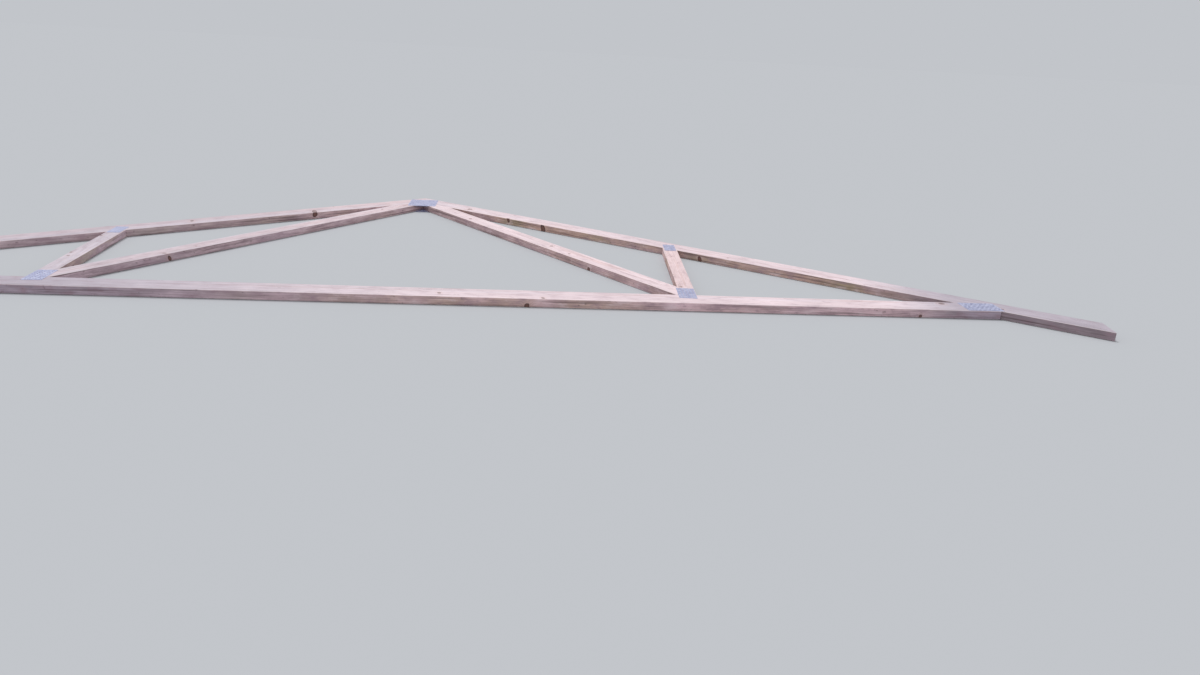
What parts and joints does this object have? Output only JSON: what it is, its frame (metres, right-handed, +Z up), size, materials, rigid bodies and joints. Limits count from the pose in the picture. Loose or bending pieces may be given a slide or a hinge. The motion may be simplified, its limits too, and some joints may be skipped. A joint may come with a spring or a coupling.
{
  "type": "wooden roof truss",
  "caption": "Prefabricated pitched roof truss of planed softwood boards, joined by punched steel nail plates, lying flat; carries roof battens and a ceiling over a room",
  "frame": {"origin": "middle of the truss's outline, on the floor that it lies on", "axes": "+X along the bottom chord, +Y in the truss's plane from the chord towards the ridge, +Z up through the boards' thickness"},
  "size_m": [5.9144, 2.4008, 0.037],
  "materials": {
    "timber": "planed softwood, weathered",
    "nail_plate": "galvanised, dull"
  },
  "bodies": {
    "root": {"bottom_chord": "timber", "rafter_left": "timber", "rafter_right": "timber", "web_left": "timber", "web_right": "timber", "strut_left": "timber", "strut_right": "timber", "plate_apex_top": "nail_plate", "plate_apex_bottom": "nail_plate", "plate_heel_left_top": "nail_plate", "plate_heel_left_bottom": "nail_plate", "plate_heel_right_top": "nail_plate", "plate_heel_right_bottom": "nail_plate", "plate_chord_left_top": "nail_plate", "plate_chord_left_bottom": "nail_plate", "plate_chord_right_top": "nail_plate", "plate_chord_right_bottom": "nail_plate", "plate_rafter_left_top": "nail_plate", "plate_rafter_left_bottom": "nail_plate", "plate_rafter_right_top": "nail_plate", "plate_rafter_right_bottom": "nail_plate"}
  },
  "joints": []
}
